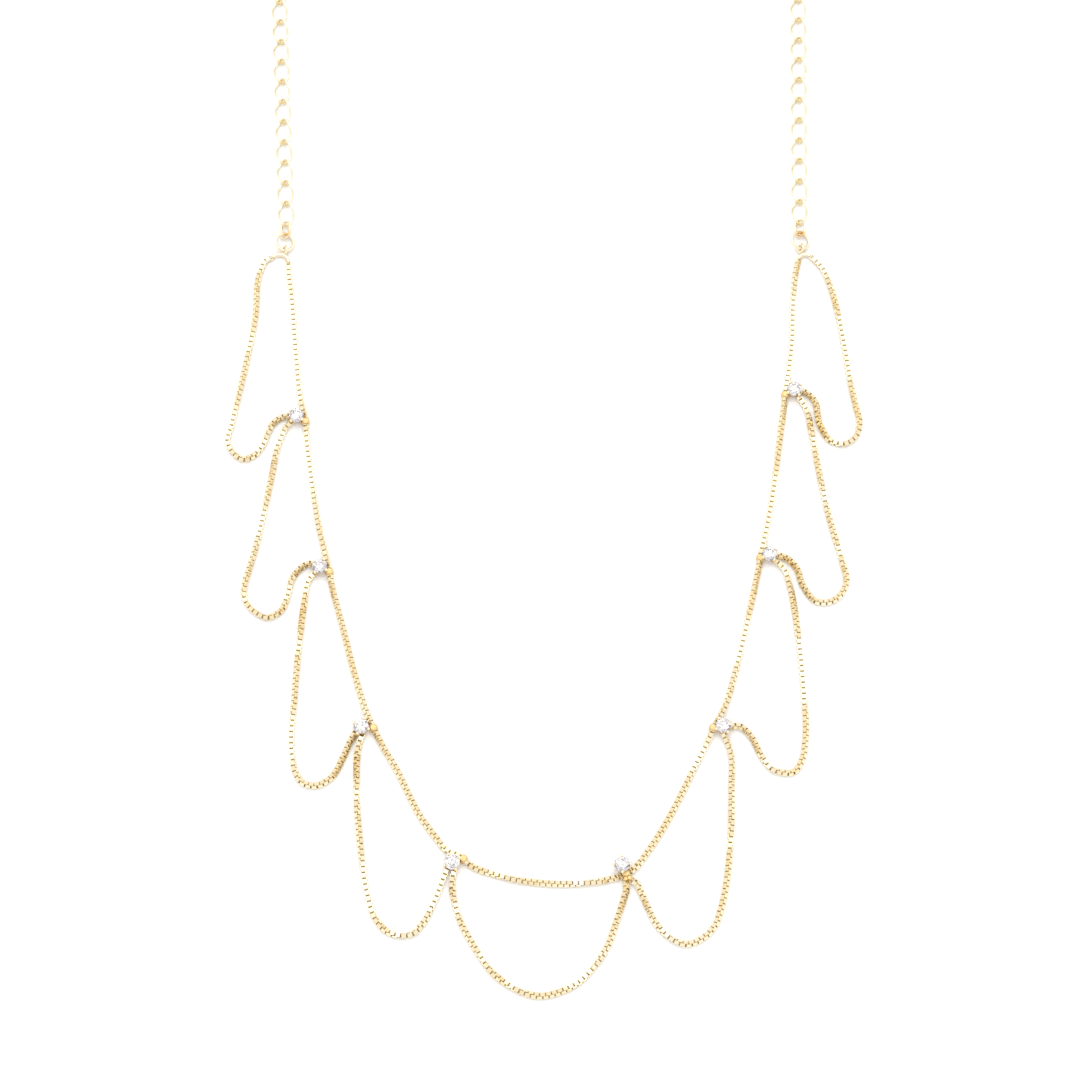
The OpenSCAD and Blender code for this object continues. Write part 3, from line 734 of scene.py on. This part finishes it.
@dataclass(frozen=True)
class GoldFinish:
    """Polished pale yellow gold, deeper where its depth says.

    The spread is how far the slow drift may deepen it, and the inside is how far its depth does; in the links
    that depth is painted shade, inside them and where they cross. The deeper gold is also rougher, except at
    the spot where two rings meet.
    """

    slot: Slot
    pale: tuple[float, float, float] = (0.92, 0.82, 0.61)
    deep: tuple[float, float, float] = (0.87, 0.68, 0.36)
    spread: float = 0.75
    inside: float = 0.55
    smoothest: float = 0.13
    roughest: float = 0.28
    marks: float = 4200.0
    bump: float = 0.12
    bump_depth: float = 0.02 * MM
    deep_rough: float = 0.25
    depth: Depth = Depth.LINKS
    solder_top: float = 1.4 * MM
    solder_fade: float = 0.25 * MM
    meet: tuple[float, float] = (40.45 * MM, 28.6 * MM)
    meet_reach: tuple[float, float] = (0.4 * MM, 0.8 * MM)

    def build(self, polish: PolishGroup, colour: GoldColourGroup) -> bpy.types.Material:
        """Makes the material: the two groups feed colour, roughness and a fine bump.

        Args:
            polish: Group of the polishing marks.
            colour: Group of the gold's colour.

        Returns:
            The material.
        """
        mat = bpy.data.materials.new(self.slot.value)
        mat.use_nodes = True
        mat.node_tree.nodes.clear()
        n = Nodes(mat.node_tree)
        shader, out = n.add("BsdfPrincipled"), n.add("OutputMaterial")
        shader.inputs["Metallic"].default_value = 1.0
        n.link(shader.outputs["BSDF"], out.inputs["Surface"])
        marks = n.add("Group", node_tree=polish.tree)
        marks.inputs["Scale"].default_value = self.marks
        marks.inputs["Smoothest"].default_value = self.smoothest
        marks.inputs["Roughest"].default_value = self.roughest
        tint = n.add("Group", node_tree=colour.tree)
        tint.inputs["Pale"].default_value = (*self.pale, 1.0)
        tint.inputs["Deep"].default_value = (*self.deep, 1.0)
        tint.inputs["Spread"].default_value = self.spread
        rough = n.add("Math", operation="MULTIPLY_ADD", use_clamp=True)
        rough.inputs[0].default_value, rough.inputs[1].default_value = 0.0, self.deep_rough
        n.link(marks.outputs["Roughness"], rough.inputs[2])
        if self.depth is Depth.LINKS:
            # Painted shade: an attribute of the links deepens and roughens the gold inside box links and
            # where curb links cross
            painted_shade, tone = (n.add("Attribute", attribute_name=a).outputs["Fac"] for a in ("painted_shade", "tone"))
            n.link(n.mapped(painted_shade, 0.0, 1.0, 0.0, self.inside), tint.inputs["Depth"])
            n.link(tone, tint.inputs["Tone"])
            n.link(painted_shade, rough.inputs[0])
        elif self.depth is Depth.SOLDER:
            parts = n.add("SeparateXYZ")
            n.link(n.add("TexCoord").outputs["Object"], parts.inputs[0])
            low = n.mapped(parts.outputs["Z"], self.solder_top - self.solder_fade, self.solder_top, 1.0, 0.0)
            n.link(n.mapped(low, 0.0, 1.0, 0.0, self.inside), tint.inputs["Depth"])
            n.link(low, rough.inputs[0])
        else:
            n.link(self.ring_meeting(n), tint.inputs["Depth"])
        n.link(tint.outputs["Color"], shader.inputs["Base Color"])
        n.link(rough.outputs[0], shader.inputs["Roughness"])
        bump = n.add("Bump")
        bump.inputs["Strength"].default_value = self.bump
        bump.inputs["Distance"].default_value = self.bump_depth
        n.link(marks.outputs["Height"], bump.inputs["Height"])
        n.link(bump.outputs["Normal"], shader.inputs["Normal"])
        return mat

    def ring_meeting(self, n: Nodes) -> Socket:
        """Adds the mask of the spot where two rings meet: the distance in plan from that spot, the same on
        both sides of X = 0.

        Args:
            n: The material's nodes.

        Returns:
            The mask, which is the finish's depth at the spot and 0 away from it.
        """
        parts, folded = n.add("SeparateXYZ"), n.add("CombineXYZ")
        n.link(n.add("TexCoord").outputs["Object"], parts.inputs[0])
        side = n.add("Math", operation="ABSOLUTE")
        n.link(parts.outputs["X"], side.inputs[0])
        n.link(side.outputs[0], folded.inputs["X"])
        n.link(parts.outputs["Y"], folded.inputs["Y"])
        away = n.add("VectorMath", operation="DISTANCE")
        n.link(folded.outputs[0], away.inputs[0])
        away.inputs[1].default_value = (*self.meet, 0.0)
        return n.mapped(away.outputs["Value"], *self.meet_reach, self.inside, 0.0)


@dataclass(frozen=True)
class StoneFinish:
    """Clear bright stone with its sparkle painted into its colour as small light and dark patches of painted
    reflection, with faint marks on its facets.

    Each shade is where its share of the patches starts, out of one, and its red, green and blue.
    """

    name: str = "clear_stone"
    painted_sparkle: tuple[tuple[float, float, float, float], ...] = (
        (0.0, 0.17, 0.15, 0.16),
        (0.12, 0.46, 0.41, 0.44),
        (0.26, 0.85, 0.8, 0.81),
        (0.46, 0.99, 0.965, 0.97),
    )
    patch: float = 2900.0
    ior: float = 2.3
    marks: float = 9000.0
    marks_detail: float = 4.0
    marks_range: tuple[float, float] = (0.3, 0.7)
    dullest: float = 0.03

    def build(self) -> bpy.types.Material:
        """Makes the material: glass whose colour is painted light and dark from patch to patch, as painted
        reflections, and whose gloss wavers slightly.

        Returns:
            The material.
        """
        mat = bpy.data.materials.new(self.name)
        mat.use_nodes = True
        mat.node_tree.nodes.clear()
        n = Nodes(mat.node_tree)
        shader, out = n.add("BsdfPrincipled"), n.add("OutputMaterial")
        shader.inputs["Transmission Weight"].default_value = 1.0
        shader.inputs["IOR"].default_value = self.ior
        n.link(shader.outputs["BSDF"], out.inputs["Surface"])
        place = n.add("TexCoord").outputs["Object"]
        # Painted reflection: light and dark patches in the stone's colour stand in for its sparkle
        cells = n.add("TexVoronoi")
        cells.inputs["Scale"].default_value = self.patch
        n.link(place, cells.inputs["Vector"])
        chance = n.add("SeparateColor")
        n.link(cells.outputs["Color"], chance.inputs[0])
        ramp = n.add("ValToRGB")
        ramp.color_ramp.interpolation = "CONSTANT"
        steps = ramp.color_ramp.elements
        while len(steps) < len(self.painted_sparkle):
            steps.new(1.0)
        for step, (start, *shade) in zip(steps, self.painted_sparkle):
            step.position, step.color = start, (*shade, 1.0)
        n.link(chance.outputs[0], ramp.inputs[0])
        n.link(ramp.outputs["Color"], shader.inputs["Base Color"])
        marks = n.noise(place, self.marks, self.marks_detail)
        n.link(n.mapped(marks, *self.marks_range, 0.0, self.dullest), shader.inputs["Roughness"])
        return mat


@dataclass(frozen=True)
class FloorFinish:
    """Plain white studio floor with a barely uneven surface."""

    name: str = "white_floor"
    shade: float = 0.97
    unevenness: float = 0.006
    roughness: float = 0.9
    gloss: float = 0.1
    grain: float = 60.0
    grain_detail: float = 3.0
    grain_range: tuple[float, float] = (0.3, 0.7)

    def build(self) -> bpy.types.Material:
        """Makes the material.

        Returns:
            The material.
        """
        mat = bpy.data.materials.new(self.name)
        mat.use_nodes = True
        n = Nodes(mat.node_tree)
        shader = mat.node_tree.nodes["Principled BSDF"]
        shader.inputs["Roughness"].default_value = self.roughness
        shader.inputs["Specular IOR Level"].default_value = self.gloss
        place = n.add("TexCoord").outputs["Object"]
        grain = n.noise(place, self.grain, self.grain_detail)
        grey = n.mapped(grain, *self.grain_range, self.shade - self.unevenness, self.shade)
        joined = n.add("CombineColor")
        for name in ("Red", "Green", "Blue"):
            n.link(grey, joined.inputs[name])
        n.link(joined.outputs[0], shader.inputs["Base Color"])
        return mat


@dataclass
class Solids:
    """Solids that keep their own mesh and only get a finish."""

    nodes: dict[str, bpy.types.Object]

    def dress(self, names: tuple[str, ...], material: bpy.types.Material) -> None:
        """Swaps the material of each named node.

        Args:
            names: Node names, or their beginnings.
            material: The finish.
        """
        for name, obj in self.nodes.items():
            if name.startswith(names):
                obj.data.materials.clear()
                obj.data.materials.append(material)
                log.info("%s: %s", name, material.name)


@dataclass(frozen=True)
class Softbox:
    """Square soft lamp: where it stands, how wide it is and how strong."""

    place: tuple[float, float, float]
    size: float
    power: float


@dataclass
class Studio:
    """White floor, soft light and the camera."""

    elevation: float = 70.0
    distance: float = 424.24 * MM
    target: tuple[float, float, float] = (-0.0006, -0.0225, 0.0)
    lens: float = 93.33
    sensor: float = 36.0
    crossing_shade: float = 0.01
    floor_half: float = 1.5
    floor_drop: float = 2e-5
    sky: float = 1.1
    lamps: tuple[Softbox, ...] = (Softbox((0.0, 0.26, 0.7), 0.65, 1.8),)

    def floor(self) -> None:
        """Builds the floor as one flat face just under the choker."""
        h, z = self.floor_half, -self.floor_drop
        mesh = bpy.data.meshes.new("floor")
        mesh.from_pydata([(-h, -h, z), (h, -h, z), (h, h, z), (-h, h, z)], [], [(0, 1, 2, 3)])
        mesh.materials.append(FloorFinish().build())
        obj = bpy.data.objects.new("floor", mesh)
        bpy.context.scene.collection.objects.link(obj)

    def light(self) -> None:
        """Lights the scene with an even sky and soft square lamps that face the choker."""
        world = bpy.data.worlds.new("studio")
        world.use_nodes = True
        world.node_tree.nodes["Background"].inputs["Color"].default_value = (1.0, 1.0, 1.0, 1.0)
        world.node_tree.nodes["Background"].inputs["Strength"].default_value = self.sky
        bpy.context.scene.world = world
        for number, box in enumerate(self.lamps):
            lamp = bpy.data.lights.new(f"softbox_{number}", "AREA")
            lamp.shape, lamp.size, lamp.energy = "SQUARE", box.size, box.power
            obj = bpy.data.objects.new(lamp.name, lamp)
            self.aim(obj, np.array(box.place), np.array(self.target))
            bpy.context.scene.collection.objects.link(obj)

    def aim(self, obj: bpy.types.Object, place: Array, target: Array) -> None:
        """Puts an object at a place with its -Z axis towards a target and its Y axis as upright as it can be.

        Args:
            obj: A lamp or the camera.
            place: Where it stands.
            target: What it looks at.
        """
        back = unit(place - target)
        right = unit(np.cross(UP, back))
        matrix = np.eye(4)
        matrix[:3] = np.column_stack([right, np.cross(back, right), back, place])
        obj.matrix_world = Matrix(matrix.tolist())

    def camera(self) -> None:
        """Stands the camera at the photograph's angle, above the floor in front of the choker."""
        data = bpy.data.cameras.new("camera")
        data.lens, data.sensor_width, data.clip_start = self.lens, self.sensor, self.crossing_shade
        obj = bpy.data.objects.new("camera", data)
        tilt = np.radians(self.elevation)
        away = np.array([0.0, -np.cos(tilt), np.sin(tilt)]) * self.distance
        self.aim(obj, np.array(self.target) + away, np.array(self.target))
        bpy.context.scene.collection.objects.link(obj)
        bpy.context.scene.camera = obj


def strands() -> list[BoxStrand]:
    """Lists the main strand and the nine swags, each with its own slow twist.

    Returns:
        The strands, from the main one to the last swag.
    """
    swags = [
        BoxStrand(f"swag_{k + 1}", Route(points), HOLDERS[k], HOLDERS[k + 1], Twist(SWAG_TURNS[k]))
        for k, points in enumerate(SWAG_ROUTES)
    ]
    return [BoxStrand("main_chain", Route(MAIN_ROUTE), *MAIN_ENDS, Twist(MAIN_TURNS)), *swags]


def curbs() -> list[CurbRun]:
    """Lists the two curb chains with the start, lean and straight length of part.scad.

    Returns:
        The left chain and the right one.
    """
    return [
        CurbRun("curb_left", Side.LEFT, (0.04062, 0.03027), 3.4, 0.0406),
        CurbRun("curb_right", Side.RIGHT, (0.04033, 0.03058), 1.5, 0.0411),
    ]


def golds() -> tuple[GoldFinish, GoldFinish, GoldFinish, GoldFinish]:
    """Lists the golds of the strands, the curb chains, the settings, and the caps, rings and clasp.

    Returns:
        The four finishes.
    """
    return (
        GoldFinish(Slot.CHAIN),
        GoldFinish(Slot.CURB, pale=(0.88, 0.82, 0.64), deep=(0.8, 0.63, 0.3), inside=0.85, spread=0.2),
        GoldFinish(
            Slot.SETTING, deep=(0.78, 0.56, 0.27), spread=0.3, inside=1.0, deep_rough=0.3, depth=Depth.SOLDER
        ),
        GoldFinish(
            Slot.FITTING, pale=(0.9, 0.8, 0.6), deep=(0.74, 0.45, 0.14), spread=0.12, inside=0.9,
            depth=Depth.MEET,
        ),
    )


def main() -> None:
    """Builds and dresses the choker, then the studio round it."""
    logging.basicConfig(level=logging.INFO, format="%(name)s: %(message)s")
    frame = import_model()
    polish, colour = PolishGroup(), GoldColourGroup()
    chain_gold, curb_gold, setting_gold, fitting_gold = (gold.build(polish, colour) for gold in golds())
    for seed, strand in enumerate(strands()):
        piece = strand.build(seed)
        strand.dress(piece, chain_gold)
        log.info("%s: %d faces", piece.name, len(piece.data.polygons))
    for seed, curb in enumerate(curbs(), start=CURB_SEED):
        piece = curb.build(seed)
        curb.dress(piece, curb_gold)
        log.info("%s: %d faces", piece.name, len(piece.data.polygons))
    solids = Solids(frame["nodes"])
    solids.dress(("setting_",), setting_gold)
    solids.dress(("end_cap_", "jump_ring_", "small_ring_", "clasp"), fitting_gold)
    solids.dress(("stone_",), StoneFinish().build())
    studio = Studio()
    studio.floor()
    studio.light()
    studio.camera()
    bpy.context.scene.view_settings.view_transform = "Standard"
    log.info("studio ready")


if __name__ == "__main__":
    main()
